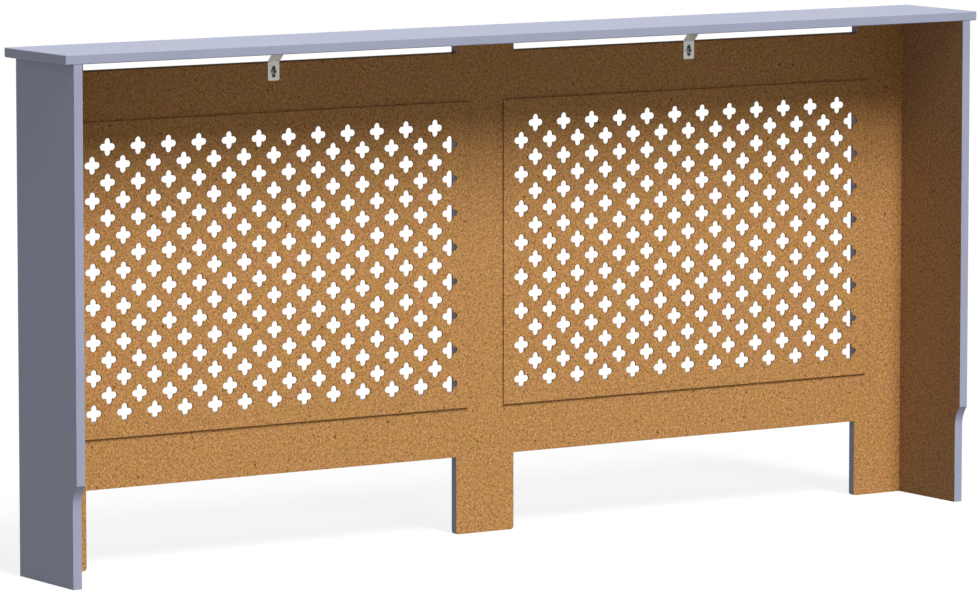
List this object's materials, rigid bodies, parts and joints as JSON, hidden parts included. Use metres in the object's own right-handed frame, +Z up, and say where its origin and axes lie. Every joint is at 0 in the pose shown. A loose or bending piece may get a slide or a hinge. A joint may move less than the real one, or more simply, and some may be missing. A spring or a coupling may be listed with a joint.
{
  "type": "radiator cover cabinet",
  "caption": "Open-backed radiator cover: a shelf on end panels with skirting notches, and a front frame whose openings carry grilles pierced with four-lobed holes.",
  "frame": {"origin": "middle of the shelf's outline, at floor level", "axes": "+Z up, -Y out of the front into the room, +Y towards the wall, +X to the right of someone who faces the front"},
  "size_m": [1.72, 0.19, 0.815],
  "materials": {
    "painted_board": "medium-density fibreboard with satin blue-grey paint outside, bare and brown on its rear and inner faces",
    "thin_board": "thin hardboard sheet, bare and brown behind, painted to match in front",
    "zinc_steel": "bright zinc plate",
    "beech": "plain beech"
  },
  "bodies": {
    "root": {"shelf": "painted_board", "front_frame": "painted_board", "left_end_panel": "painted_board", "right_end_panel": "painted_board", "left_grille": "thin_board", "right_grille": "thin_board", "left_strap": "zinc_steel", "right_strap": "zinc_steel", "left_rail_screw": "zinc_steel", "right_rail_screw": "zinc_steel", "left_shelf_screw": "zinc_steel", "right_shelf_screw": "zinc_steel", "centre_stile_dowels": "beech", "left_stile_dowel": "beech", "right_stile_dowel": "beech", "left_end_top_dowels": "beech", "right_end_top_dowels": "beech", "left_end_frame_dowels": "beech", "right_end_frame_dowels": "beech"}
  },
  "joints": []
}
